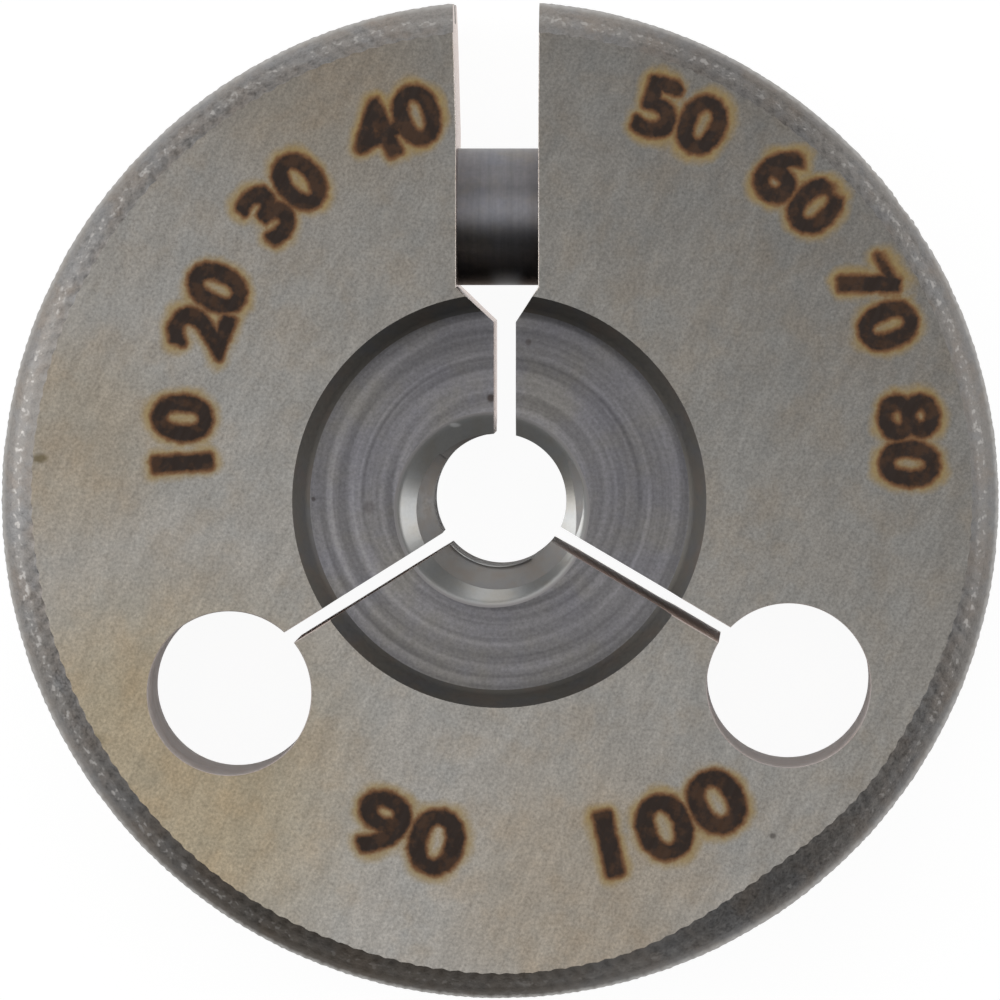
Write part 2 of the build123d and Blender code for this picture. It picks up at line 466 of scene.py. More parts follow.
# A countersink at each end of the bore, its lip rubbed round.
skim_radius = countersink_radius + lip_reach
foot_height = (countersink_foot - countersink_radius) * countersink_slope
for end, floor_at, up in (("upper", floor_level, 1), ("lower", recess_depth, -1)):
    cone = [(0, cutter_height), (skim_radius + 0.1, cutter_height), (skim_radius, lip_rise),
            (countersink_radius, 0), (countersink_foot, foot_height), (0, foot_height)]
    cone = [(r, floor_at + up * z) for r, z in eased(cone, 3, lip_softness, 6)][::up]
    countersink = finish_with(turned(end + "_countersink", cone, 128), lip_steel)
    finish_with(countersink, turned_steel, lambda radius, height: radius > countersink_radius + 0.15)
    countersink.data.transform(Matrix.Translation((*countersink_shift, 0)))
    cuts.append(countersink)

open_slot = [(wide_left - spread_left, outside), (wide_left, spread_from_y), (wide_left, funnel_mouth_y),
             (narrow_left, funnel_foot_y), (narrow_left, 0), (narrow_right, 0),
             (narrow_right, funnel_foot_y), (wide_right, funnel_mouth_y), (wide_right, spread_from_y),
             (wide_right + spread_right, outside)]
cuts.append(finish_with(prism("open_slot", open_slot), open_slot_lit_steel))

# Each closed slot: its angle, width, how far it passes beside the axis, how much each wall comes in
# on the way down, and the angle and distance of its relief hole.
for side, slot_angle, slot_width, slot_drift, slot_taper, relief_angle, relief_distance in (
        ("left", 212.0, 0.35, 0.12, 0.0, 215.5, 8.42), ("right", -30.5, 0.48, -0.03, 0.08, -32.5, 8.71)):
    turn = Matrix.Rotation(radians(slot_angle), 2)
    length = relief_distance * cos(radians(relief_angle - slot_angle))
    right_wall, left_wall = slot_drift - slot_width / 2, slot_drift + slot_width / 2
    outline = [turn @ Vector(p) for p in ((0, right_wall), (length, right_wall),
                                          (length, left_wall), (0, left_wall))]
    cuts.append(finish_with(prism(side + "_slot", outline, slot_taper), closed_slot_lit_steel))
    flared_radius = relief_radius + edge_break
    relief = turned(side + "_relief", mirrored([
        (0, face_level + beyond), (flared_radius, face_level + beyond), (flared_radius, face_level),
        (relief_radius, face_level - edge_break), (relief_radius, middle)]), 128)
    relief.data.transform(Matrix.Translation((
        relief_distance * cos(radians(relief_angle)),
        relief_distance * sin(radians(relief_angle)), 0)))
    cuts.append(finish_with(relief, drilled_lit_steel))

across = Matrix.Translation((0, device_y, middle)) @ Matrix.Rotation(radians(90), 4, "Y")
cross_hole = turned("cross_hole", [
    (0, -outside), (locking_hole_radius, -outside), (locking_hole_radius, sleeve_shoulder_x),
    (sleeve_hole_radius, sleeve_shoulder_x), (sleeve_hole_radius, adjusting_hole_x),
    (adjusting_hole_radius, adjusting_hole_x + drill_point), (adjusting_hole_radius, outside),
    (0, outside)], 96)
cross_hole.data.transform(across)
cuts.append(finish_with(cross_hole, drilled_lit_steel))

# A thread is a straight bar of the groove's section wound round the axis at a steady climb.
coil, given, result = new_tree(
    "thread_groove", "GeometryNodeTree",
    {"Blank": GEOMETRY, "Turns": FLOAT, "Steps a turn": INT, "Pitch": FLOAT, "Start": FLOAT,
     "Near radius": FLOAT, "Near width": FLOAT, "Far radius": FLOAT, "Far width": FLOAT, "Finish": MATERIAL},
    {"Groove": GEOMETRY})
steps = times(coil, given["Turns"], given["Steps a turn"])
bar = node(coil, "GeometryNodeMeshCube", {"Vertices X": steps, "Vertices Y": 2, "Vertices Z": 2,
                                          "Size": joined(coil, given["Turns"], 1.0, 1.0)})
x, y, z = axes(coil, get(coil, "GeometryNodeInputPosition"))
turns = plus(coil, x, calc(coil, "DIVIDE", given["Turns"], 2.0))
depth = plus(coil, y, 0.5)
radius, width = (
    get(coil, "ShaderNodeMix", {2: given["Near " + size], 3: given["Far " + size], 0: depth})
    for size in ("radius", "width"))
height = plus(coil, times(coil, z, width), plus(coil, given["Start"], times(coil, turns, given["Pitch"])))
angle = times(coil, turns, tau)
wound = joined(coil, times(coil, radius, calc(coil, "COSINE", angle)),
               times(coil, radius, calc(coil, "SINE", angle)), height)
bent = node(coil, "GeometryNodeSetPosition", {"Geometry": bar.outputs[0], "Position": wound})
turned_out = node(coil, "GeometryNodeFlipFaces", {0: bent.outputs[0]})
end_tree(coil, turned_out.outputs[0], given["Finish"], result)


def thread_groove(name, finish, pitch, near, far, start, end, steps_a_turn, overlap=0.06):
    """The cutter of one thread: V groove from radius near to radius far, between two heights."""
    way = 1 if far > near else -1
    flat = pitch / 18
    slope = 2 * tan(radians(30))
    width = flat + abs(far - near) * slope
    return shaped(placed(name, bpy.data.meshes.new(name)), coil, {
        "Turns": (end - start) / pitch, "Steps a turn": steps_a_turn, "Pitch": pitch, "Start": start,
        "Near radius": near - way * overlap, "Near width": width + overlap * slope,
        "Far radius": far, "Far width": flat, "Finish": finish})


cuts.append(thread_groove(
    "gauging_thread", thread_steel, gauging_pitch, bore_radius, gauging_root_radius, gauging_start,
    ring_thickness + thread_runout, gauging_steps))
blunt_start = thread_groove(
    "blunt_start", thread_steel, blunt_pitch, bore_radius, blunt_root_radius, blunt_height,
    blunt_height + blunt_turns * blunt_pitch, gauging_steps)
blunt_start.data.transform(
    Matrix.Translation((*blunt_shift, 0)) @ Matrix.Rotation(radians(blunt_from), 4, "Z"))
cuts.append(blunt_start)
for tapped in (
        thread_groove("adjusting_tapping", drilled_lit_steel, adjusting_pitch, adjusting_hole_radius,
                      adjusting_hole_radius + adjusting_thread_depth,
                      adjusting_hole_x + adjusting_tap_lead, tapped_to, adjusting_steps),
        thread_groove("locking_tapping", drilled_lit_steel, locking_pitch, locking_hole_radius,
                      locking_hole_radius + locking_thread_depth, -tapped_to,
                      sleeve_shoulder_x - locking_tap_lead, locking_steps)):
    tapped.data.transform(across)
    cuts.append(tapped)
for name, low, high in (("over", face_level, face_level + beyond), ("under", -beyond, 0)):
    cuts.append(finish_with(box(name, outside, outside, low, high), ground_steel))

cutters = bpy.data.collections.new("cutters")
for cut in cuts:
    cutters.objects.link(cut)
cutting = ring.modifiers.new("cut", "BOOLEAN")
cutting.operation, cutting.operand_type, cutting.collection = "DIFFERENCE", "COLLECTION", cutters
cutting.solver, cutting.material_mode = "MANIFOLD", "TRANSFER"
ring.data = plain_mesh(ring)
ring.modifiers.clear()
for cut in cuts:
    bpy.data.objects.remove(cut)

# ------------------------------------------------
# Ring body, the marks
# The upper face is marked with plain numbers by an electric etching pencil, which leaves them
# dark brown with a scorched tan edge.  They have no depth: the face keeps them as a value at each
# of its points, the distance inside (or, below zero, outside) the nearest burnt stroke.
stroke_growth = 0.075
scorch_reach = 0.62
fine_step, coarse_step = 0.05, 0.1
fine_reach = 0.13
clear_of_rim, clear_left, clear_right = 0.5, 0.2, 0.1  # the net keeps this far from the face's edges
unburnt = -9.0
points_at_once = 4000
# Each run of numbers: the centre and radius of its arc, the bearings of its first and last
# character, their height and stretch, and whether they are read from inside the ring.
runs = (("10 20 30 40", (0.63, 1.53), 8.69, 183.8, 108.3, 1.38, 1.15, True),
        ("50 60 70 80", (1.44, 1.37), 8.98, 73.2, -2.7, 1.38, 1.15, True),
        ("90  100", (0.70, 0.60), 9.55, -112.8, -59.7, 1.5, 1.3, False))


def burnt_numbers(text, centre, radius, start, end, height, stretch, outward):
    """Outline segments of characters spread evenly along an arc of the face, angles in degrees."""
    segments = []
    for index, character in enumerate(text):
        if character == " ":
            continue
        letter = bpy.data.curves.new("mark", "FONT")
        letter.body, letter.size, letter.resolution_u = character, 1.0, 4
        holder = placed("mark", letter)
        flat = plain_mesh(holder)
        bpy.data.objects.remove(holder)
        outline = bmesh.new()
        outline.from_mesh(flat)
        bmesh.ops.remove_doubles(outline, verts=outline.verts, dist=1e-5)
        edges = np.array([[vertex.co[:2] for vertex in edge.verts]
                          for edge in outline.edges if len(edge.link_faces) == 1])
        outline.free()
        low, high = edges.min((0, 1)), edges.max((0, 1))
        scale = height / (high[1] - low[1])
        edges = (edges - (low + high) / 2) * (scale * stretch, scale)
        angle = radians(start + (end - start) * index / (len(text) - 1))
        turn = angle - pi / 2 if outward else angle + pi / 2
        rotation = np.array([[cos(turn), sin(turn)], [-sin(turn), cos(turn)]])
        segments.append(edges @ rotation + np.array(centre) + radius * np.array([cos(angle), sin(angle)]))
    return np.concatenate(segments)


def inside_distance(points, segments):
    """Distance of each point to the nearest outline segment, negative outside the outlines."""
    result = np.empty(len(points))
    start, along = segments[None, :, 0], segments[None, :, 1] - segments[None, :, 0]
    for first in range(0, len(points), points_at_once):
        block = points[first:first + points_at_once, None, :]
        share = np.clip(((block - start) * along).sum(2) / (along ** 2).sum(2), 0, 1)
        near = np.sqrt((((start + along * share[..., None]) - block) ** 2).sum(2).min(1))
        above = (segments[None, :, 0, 1] > block[..., 1]) != (segments[None, :, 1, 1] > block[..., 1])
        with np.errstate(divide="ignore", invalid="ignore"):
            crossing = start[..., 0] + (block[..., 1] - start[..., 1]) * along[..., 0] / along[..., 1]
        inside = (above & (crossing > block[..., 0])).sum(1) % 2 == 1
        result[first:first + points_at_once] = np.where(inside, near, -near)
    return result


marks = np.concatenate([burnt_numbers(*run) for run in runs])

# Points for the face: a fine net over the strokes' edges, a coarser one over the scorched parts.
trail = np.concatenate([marks[:, 0] + (marks[:, 1] - marks[:, 0]) * share for share in np.linspace(0, 1, 9)])
net = []
for step, near, far in ((fine_step, 0.0, fine_reach), (coarse_step, fine_reach, scorch_reach)):
    grid = np.stack(np.meshgrid(np.arange(-ring_radius, ring_radius, step),
                                np.arange(-ring_radius, ring_radius, step * sqrt(3) / 2)), -1)
    grid[1::2, :, 0] += step / 2
    grid = grid.reshape(-1, 2)
    cell = max(far / 2, 0.1)
    touched = {tuple(key) for key in np.floor(trail / cell).astype(int)}
    touched = {(i + p, j + q) for i, j in touched for p in range(-2, 3) for q in range(-2, 3)}
    grid = grid[[tuple(key) in touched for key in np.floor(grid / cell).astype(int)]]
    distance = inside_distance(grid, marks) + stroke_growth
    net.append(grid[(np.abs(distance) >= near) & (np.abs(distance) < far)])
net = np.concatenate(net)

# The upper face is taken off and made again over its own edges and the net.
face = bmesh.new()
face.from_mesh(ring.data)
burn = face.verts.layers.float.new("burn")
for vertex in face.verts:
    vertex[burn] = unburnt
ground_slot = ring.data.materials.find(ground_steel.name)
top = [f for f in face.faces if f.normal.z > 0 and f.material_index == ground_slot]
top_set = set(top)
edge = [e for e in face.edges if sum(f in top_set for f in e.link_faces) == 1]
bmesh.ops.delete(face, geom=top, context="FACES")
corners = sorted({v for e in edge for v in e.verts}, key=lambda v: v.index)
number = {v: i for i, v in enumerate(corners)}
places = [Vector(v.co[:2]) for v in corners]
from_axis = np.hypot(*net.T)
beside_slot = ((net[:, 0] > wide_left - clear_left) & (net[:, 0] < wide_right + clear_right)
               & (net[:, 1] > 0))
net = net[(from_axis < ring_radius - rim_chamfer - clear_of_rim) & ~beside_slot]
places += [Vector(p) for p in net]
points, _, triangles, came_from, _, _ = delaunay_2d_cdt(
    places, [[number[v] for v in e.verts] for e in edge], [], 1, 1e-7)
burnt = inside_distance(np.array([p[:] for p in points]), marks) + stroke_growth
known = []
for index, origin in enumerate(came_from):
    old = [o for o in origin if o < len(corners)]
    vertex = corners[old[0]] if old else face.verts.new((*points[index], face_level))
    vertex[burn] = burnt[index]
    known.append(vertex)
for triangle in triangles:
    face.faces.new([known[i] for i in triangle]).material_index = ground_slot
face.to_mesh(ring.data)
face.free()

# ------------------------------------------------
# Ring body, the finishes
# The faces are surface ground: pale steel with fine lines all one way, and faint oil and rust
# tints, painted lighter on the left and towards the bottom as painted light.  The recess is left as
# turned, with rings from the tool, and painted shade near its wall.  The rim keeps the dark skin of
# the hardening furnace, with painted shade towards the bottom.  The slots and the drilled holes are
# given pale colours as painted light, standing in for the light from the table below.


def paint(code):
    """A linear colour from its usual six-digit code."""
    parts = [int(code[i:i + 2], 16) / 255 for i in (0, 2, 4)]
    return (*(c / 12.92 if c <= 0.04045 else ((c + 0.055) / 1.055) ** 2.4 for c in parts), 1.0)


def blend(tree, share, first, second, mode="MIX"):
    """Two colours mixed by a share."""
    return node(tree, "ShaderNodeMix", {0: share, 6: first, 7: second}, data_type="RGBA",
                blend_type=mode).outputs[2]


def shaded(tree, tone, factor):
    """A tone multiplied by a factor or by a tint."""
    return blend(tree, 1.0, tone, factor, "MULTIPLY")


def cloud(tree, vector, scale, detail=2.0, roughness=0.5):
    """A soft noise value."""
    return get(tree, "ShaderNodeTexNoise", {"Vector": vector, "Scale": scale, "Detail": detail,
                                            "Roughness": roughness})


COLOR = "NodeSocketColor"
WHITE = (1, 1, 1, 1)

# Fine lines that all run one way, broken up along their length.
grain, given, result = new_tree(
    "fine_lines", "ShaderNodeTree",
    {"Vector": VECTOR, "Turn": VECTOR, "Lines per mm": FLOAT, "Length": FLOAT}, {"Lines": FLOAT})
turned_to = get(grain, "ShaderNodeMapping", {0: given["Vector"], "Rotation": given["Turn"]})
squeeze = joined(grain, calc(grain, "DIVIDE", given["Lines per mm"], given["Length"]),
                 given["Lines per mm"], given["Lines per mm"])
grain.links.new(cloud(grain, vector_calc(grain, "MULTIPLY", turned_to, squeeze), 1.0, 2.0, 0.6), result[0])

# Mottling: two tints lie over a base colour in soft patches, with fine specks of light and dark.
mottle, given, result = new_tree(
    "mottled", "ShaderNodeTree",
    {"Vector": VECTOR, "Base": COLOR, "Warm": COLOR, "Cool": COLOR, "Patches per mm": FLOAT,
     "Patch strength": FLOAT, "Specks per mm": FLOAT, "Speck strength": FLOAT},
    {"Colour": COLOR, "Specks": FLOAT})
tone = given["Base"]
for tint, shift in (("Warm", (0.0, 0.0, 0.0)), ("Cool", (31.0, 17.0, 5.0))):
    away = vector_calc(mottle, "ADD", given["Vector"], shift)
    patches = ramp(mottle, cloud(mottle, away, given["Patches per mm"], 3.0, 0.6), 0.42, 0.68)
    tone = blend(mottle, times(mottle, patches, given["Patch strength"]), tone, given[tint])
specks = cloud(mottle, given["Vector"], given["Specks per mm"], 2.0, 0.7)
lift = plus(mottle, 1.0, swing(mottle, specks, times(mottle, given["Speck strength"], 4.0)))
mottle.links.new(vector_calc(mottle, "MULTIPLY", tone, lift), result[0])
mottle.links.new(specks, result[1])


def steel(material, metallic, tones, patches, patch_strength, specks, speck_strength,
          roughness=0.5, also=None):
    """Starts a metal finish, mottled in three tones, its roughness even or spread over the specks.

    Gives its node tree, its shader, the place on the piece in millimetres, its colour and specks.
    """
    tree = emptied(material)
    at = get(tree, "ShaderNodeMapping", {0: node(tree, "ShaderNodeTexCoord").outputs["Object"],
                                         "Scale": (1000.0, 1000.0, 1000.0)})
    base, warm, cool = (paint(tone) for tone in tones.split())
    colour, specks = node(tree, "ShaderNodeGroup", {
        "Vector": at, "Base": base, "Warm": warm, "Cool": cool, "Patches per mm": patches,
        "Patch strength": patch_strength, "Specks per mm": specks, "Speck strength": speck_strength},
        node_tree=mottle).outputs
    if isinstance(roughness, tuple):
        roughness = ramp(tree, specks, 0.3, 0.7, *roughness)
    shader = node(tree, "ShaderNodeBsdfPrincipled", {
        "Base Color": colour, "Metallic": metallic, "Roughness": roughness, **(also or {})})
    tree.links.new(shader.outputs[0], node(tree, "ShaderNodeOutputMaterial").inputs[0])
    return tree, shader, at, colour, specks


def tinted(tree, at, tone, patches):
    """A tone with soft tints over it, each given by its middle, its reach and its colour."""
    for x, y, reach, tint in patches:
        away = measured(tree, "DISTANCE", at, (x, y, face_level))
        tone = blend(tree, ramp(tree, away, reach, 0.3 * reach), tone, shaded(tree, tone, paint(tint)))
    return tone


def bumped(tree, shader, height, distance):
    """A fine relief on the shader's normal, its depth in millimetres."""
    bump = node(tree, "ShaderNodeBump", {"Height": height, "Distance": distance / 1000, "Strength": 1.0})
    tree.links.new(bump.outputs[0], shader.inputs["Normal"])


# The ground faces, with the burnt numbers.  They are painted lighter on the left and towards the bottom, as
# painted light.
metallic, metallic_where_burnt = 0.85, 0.1
grinding_turn = (0.0, 0.0, radians(-65))
tree, shader, at, tone, _ = steel(ground_steel, metallic, "a29e98 a39a8e 9e9d9a", 0.8, 0.6, 13.0, 0.26)
lines, streaks = (
    get(tree, "ShaderNodeGroup", {"Vector": at, "Turn": grinding_turn, "Lines per mm": per_mm,
                                  "Length": length}, node_tree=grain)
    for per_mm, length in ((8.0, 6.0), (3.0, 3.0)))
tone = shaded(tree, tone, ramp(tree, lines, 0.25, 0.75, 0.86, 1.14))
tone = shaded(tree, tone, ramp(tree, streaks, 0.3, 0.7, 0.93, 1.07))
x, y, _ = axes(tree, at)
# Painted light: the face is made lighter on the left and towards the bottom.
tone = shaded(tree, tone, minus(tree, calc(tree, "MULTIPLY_ADD", x, -0.018, 0.97), times(tree, y, 0.026)))
tone = tinted(tree, at, tone, ((-8.8, -7.2, 6.8, "fff2d8"), (-4.5, 10.6, 4.0, "fff8ee"),
                               (-11.0, 1.5, 3.6, "fff7ea"), (2.0, -10.0, 4.5, "fff7ec")))
ragged = swing(tree, cloud(tree, at, 4.0, 3.0, 0.7), 0.16)
burnt_in = plus(tree, node(tree, "ShaderNodeAttribute", attribute_name="burn").outputs["Fac"], ragged)
patch = swing(tree, cloud(tree, at, 1.1, 2.0), 0.4)
halo = ramp(tree, plus(tree, burnt_in, patch), -0.36, -0.06, 0.0, 0.68)
scorch = ramp(tree, burnt_in, -0.15, -0.02, 0.0, 0.95)
char = ramp(tree, burnt_in, -0.06, 0.04, 0.0, 0.97)
char_tone = blend(tree, ramp(tree, cloud(tree, at, 2.6, 3.0, 0.6), 0.45, 0.65),
                  paint("2a1b12"), paint("4a301c"))
for share, burnt_tone in ((halo, paint("a3884c")), (scorch, paint("7d4c1c")), (char, char_tone)):
    tone = blend(tree, share, tone, burnt_tone)
# Three stains, each by its middle, its half width and half height, and its colour.
for *spot, half_width, half_height, stain in (
        (-11.66, 1.07, 0.26, 0.14, "6b5f42"), (6.95, -8.5, 0.10, 0.09, "55504c"),
        (-10.4, -6.1, 0.5, 0.3, "8b8068")):
    near = vector_calc(tree, "MULTIPLY", vector_calc(tree, "SUBTRACT", at, (*spot, 0.0)),
                       (1 / half_width, 1 / half_height, 0.0))
    far = plus(tree, measured(tree, "LENGTH", near), times(tree, ragged, 5.0))
    tone = blend(tree, ramp(tree, far, 1.1, 0.3, 0.0, 0.75), tone, paint(stain))
feed(tree, shader, {
    "Base Color": tone, "Metallic": ramp(tree, scorch, 0.0, 1.0, metallic, metallic_where_burnt),
    "Roughness": plus(tree, ramp(tree, lines, 0.3, 0.7, 0.38, 0.48), times(tree, char, 0.2))})
bumped(tree, shader, lines, 0.002)

# The turned recess floor: faint rings round the bore, some light and some dark, a few of them
# marked by their radius, half width, depth of tone and the side they show on, and some dark flecks.
tree, shader, at, tone, _ = steel(turned_steel, 0.7, "888688 8a867f 828188", 0.6, 0.6, 12.0, 0.2)
x, y, _ = axes(tree, at)
from_axis = measured(tree, "LENGTH", joined(tree, minus(tree, x, 0.03), minus(tree, y, 0.11)))
ring_place = joined(tree, from_axis, times(tree, x, 0.03), times(tree, y, 0.03))
fine_rings = cloud(tree, ring_place, 4.2, 2.0, 0.6)
broad_rings = cloud(tree, ring_place, 1.6, 1.0, 0.5)
tone = shaded(tree, tone, ramp(tree, fine_rings, 0.3, 0.7, 0.8, 1.2))
tone = shaded(tree, tone, ramp(tree, broad_rings, 0.3, 0.7, 0.9, 1.1))
for ring_at, half_width, change, side in (
        (3.52, 0.10, -0.36, 1.0), (3.78, 0.10, 0.22, -1.0), (2.84, 0.12, -0.2, -1.0),
        (4.34, 0.12, 0.16, -1.0), (4.58, 0.08, -0.14, -1.0), (3.16, 0.1, -0.12, -1.0)):
    shows = ramp(tree, times(tree, y, side), -3.0, 2.0, 0.3, 1.0)
    seen = times(tree, ramp(tree, apart(tree, from_axis, ring_at), half_width, 0.0), shows)
    tone = shaded(tree, tone, calc(tree, "MULTIPLY_ADD", seen, change, 1.0))
# Painted light and shade: the floor is made lighter on the left and darker towards the bottom, and painted
# shade from the wall darkens its upper side near the wall.
lighter = calc(tree, "MULTIPLY_ADD", x, -0.022, ramp(tree, y, -4.0, -1.5, 0.87, 1.1))
tone = shaded(tree, tone, lighter)
tone = shaded(tree, tone, ramp(tree, y, 2.4, 4.7, 1.0, 0.76))
for *fleck, reach, darkness in ((-0.22, 2.60, 0.14, 0.75), (-3.32, -0.18, 0.22, 0.28),
                                (0.73, 4.02, 0.11, 0.45), (-4.74, 0.03, 0.08, 0.6)):
    away = measured(tree, "DISTANCE", at, (*fleck, floor_level))
    tone = blend(tree, ramp(tree, away, reach, 0.4 * reach, 0.0, darkness), tone, paint("3a2a24"))
feed(tree, shader, {"Base Color": tone})
bumped(tree, shader, fine_rings, 0.004)

# The wall of the recess, given a dark colour as painted shade, and painted lighter towards the left and the
# right as painted light.
tree, shader, at, tone, _ = steel(shaded_wall_steel, 0.6, "625f5a 6b6058 5c5d60", 1.0, 0.6, 9.0, 0.1, (0.45, 0.57))
side_light = calc(tree, "ABSOLUTE", axes(tree, at)[0])
feed(tree, shader, {"Base Color": shaded(tree, tone, ramp(tree, side_light, 1.5, 4.8, 0.95, 1.4))})

# The countersinks, painted lighter below their lips as painted light, with a painted glint on one side.
glint_at, glint_turn, glint_scale = (-1.13, 1.91, 0.0), (0.0, 0.0, radians(-12)), (5.5, 13.0, 0.0)
tree, shader, at, tone, _ = steel(lip_steel, 0.9, "b6b6b4 aea89e acaeb0", 1.4, 0.5, 12.0, 0.04)
from_centre = vector_calc(tree, "SUBTRACT", at, (*countersink_shift, 0.0))
from_centre = measured(tree, "LENGTH", vector_calc(tree, "MULTIPLY", from_centre, (1.0, 1.0, 0.0)))
lip = ramp(tree, from_centre, countersink_radius - 0.04, countersink_radius + 0.08)
tone = blend(tree, lip, tone, paint("989595"))
# Painted highlight: a small white glint on one side of the lip.
near = get(tree, "ShaderNodeMapping", {0: vector_calc(tree, "SUBTRACT", at, glint_at),
                                       "Rotation": glint_turn, "Scale": glint_scale})
tone = blend(tree, ramp(tree, measured(tree, "LENGTH", near), 1.0, 0.3, 0.0, 0.8), tone, WHITE)
feed(tree, shader, {"Base Color": tone, "Roughness": ramp(tree, lip, 0.0, 1.0, 0.34, 0.5)})

# The chased thread, polished by the screws it has gauged.
steel(thread_steel, 0.7, "a19e9b 9c9085 999a9d", 1.5, 0.5, 12.0, 0.06, (0.44, 0.56))

# The knurled rim and chamfers: grey with scale, with painted shade that makes them darker towards the
# bottom and the right.  Small bright points on the crests half way in over the chamfer are rubbed
# crests painted as sparkle highlights, stronger on the left.  The outer corner is painted lighter,
# as wear and as a painted reflection of the pale table, and the foot is painted darker, as painted shade.
crest_radius, foot_radius = 12.27, 12.04
tree, shader, at, tone, specks = steel(
    rim_steel, 0.85, "8e8a86 8f8378 87898c", 1.0, 0.5, 11.0, 0.28, (0.34, 0.54))
x, y, z = axes(tree, at)
# Painted shade: darker towards the bottom and the right, and darker patches at the bottom and the upper
# right.
tone = shaded(tree, tone, plus(tree, calc(tree, "MULTIPLY_ADD", y, 0.014, 1.01), times(tree, x, -0.0095)))
tone = tinted(tree, at, tone, ((-3.6, -12.2, 10.0, "aea79f"), (6.4, 11.0, 4.5, "e8e6e4")))
from_axis = measured(tree, "LENGTH", joined(tree, x, y))
from_middle = apart(tree, z, middle)
# Painted reflection of the pale table on the outer corner, with wear on the crests there.
corner_wear_and_reflection = ramp(tree, from_middle, land_top - 0.06, land_top + 0.10, 0.5, 0.0)
tone = blend(tree, corner_wear_and_reflection, tone, paint("b9b6b2"))
over_chamfer = ramp(tree, from_middle, land_top, land_top + 0.1)
# Painted shade at the foot of the chamfer.
foot = ramp(tree, apart(tree, from_axis, foot_radius), 0.16, 0.03, 1.0, 0.92)
tone = shaded(tree, tone, blend(tree, over_chamfer, WHITE, foot))
# Painted highlights: sparkles on the rubbed crests, stronger to the left and weaker at the bottom.
on_crest = times(tree, over_chamfer, ramp(tree, apart(tree, from_axis, crest_radius), 0.16, 0.04))
points = times(tree, ramp(tree, cloud(tree, at, 6.4, 1.0), 0.55, 0.68, 0.12, 0.80),
               times(tree, ramp(tree, x, -10.0, 4.0, 1.0, 0.6),
                     ramp(tree, y, -12.0, -6.0, 0.2, 1.0)))
tone = blend(tree, times(tree, points, on_crest), tone, paint("d6d2ce"))
feed(tree, shader, {"Base Color": tone})
bumped(tree, shader, specks, 0.008)

# The walls of the open slot and its V, pale cream as painted light, standing in for the light from the table
# below.
steel(open_slot_lit_steel, 0.8, "ded6cf cdbdb0 d6d1cd", 1.2, 0.6, 9.0, 0.1, (0.16, 0.30),
      {"Specular Tint": paint("ecdcd6")})
# The walls of the closed slots, pale warm brown as painted light, standing in for the faint light from the
# table below in the narrow slots.
steel(closed_slot_lit_steel, 0.0, "e8dad2 dac4b8 e8deda", 1.2, 0.8, 9.0, 0.12, (0.46, 0.62),
      {"Specular IOR Level": 0.85})
# The drilled and bored holes, pale pinkish as painted light, standing in for the light from the table below.
steel(drilled_lit_steel, 0.1, "d9cec9 ccbcb2 d0c8c5", 1.2, 0.7, 7.0, 0.12, (0.5, 0.7),
      {"Specular IOR Level": 0.25})


def to_frame(piece, body, slot, *stands_for):
    """Brings a finished piece from millimetres to metres, shades it, and fixes it to its body."""
    piece.data.transform(Matrix.Scale(0.001, 4))
    piece.data.shade_smooth()
    piece.data.set_sharp_from_angle(angle=radians(32))
    finishes = {}
    for face in piece.data.polygons:
        for edge in face.edge_keys:
            finishes.setdefault(edge, set()).add(face.material_index)
    for edge in piece.data.edges:
        if len(finishes[edge.key]) > 1:
            edge.use_edge_sharp = True
    piece.data.update()
    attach(piece, body)
    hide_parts(*stands_for)


to_frame(ring, "ring", "ring_steel", "ring_body")

# ------------------------------------------------
# Alignment sleeve
# A plain hardened tube, ground to slide in the lobes' bores.  It bridges the open slot, keeps the
# lobes level, and passes the push of the adjusting screw on to the left lobe.  Painted light and shade
# make it lighter on the side away from the bore and darker on the side towards the bore.
sleeve_radius, sleeve_bore, sleeve_edge, bore_edge = 1.75, 1.24, 0.15, 0.1
sleeve_left, sleeve_right = -3.786, 3.614
sleeve = turned("sleeve", [
    (sleeve_bore, sleeve_left + bore_edge), (sleeve_bore + bore_edge, sleeve_left),
    (sleeve_radius - sleeve_edge, sleeve_left), (sleeve_radius, sleeve_left + sleeve_edge),
    (sleeve_radius, sleeve_right - sleeve_edge), (sleeve_radius - sleeve_edge, sleeve_right),
    (sleeve_bore + bore_edge, sleeve_right), (sleeve_bore, sleeve_right - bore_edge),
    (sleeve_bore, sleeve_left + bore_edge)], 128)
sleeve.data.transform(across)
sleeve_steel = bpy.data.materials.new("ground_sleeve")
tree, shader, at, tone, _ = steel(sleeve_steel, 0.85, "78777a 7b766f 6e7078", 1.0, 0.5, 8.0, 0.08, 0.42)
x, y, z = axes(tree, at)
bands = joined(tree, x, times(tree, y, 0.05), times(tree, z, 0.05))
bands = cloud(tree, bands, 5.0, 3.0, 0.7)
tone = shaded(tree, tone, ramp(tree, bands, 0.25, 0.75, 0.90, 1.10))
# Painted light and shade: lighter on the side away from the bore, dark on the side towards it and darkest at
# its lower edge.
sleeve_light_and_shade = times(tree, ramp(tree, y, device_y - 0.75, device_y + 0.25, 0.46, 1.32),
              ramp(tree, y, device_y - sleeve_radius, device_y - 1.1, 0.4, 1.0))
feed(tree, shader, {"Base Color": shaded(tree, tone, sleeve_light_and_shade)})
bumped(tree, shader, bands, 0.003)
finish_with(sleeve, sleeve_steel)
to_frame(sleeve, "ring", "sleeve_steel", "alignment_sleeve")

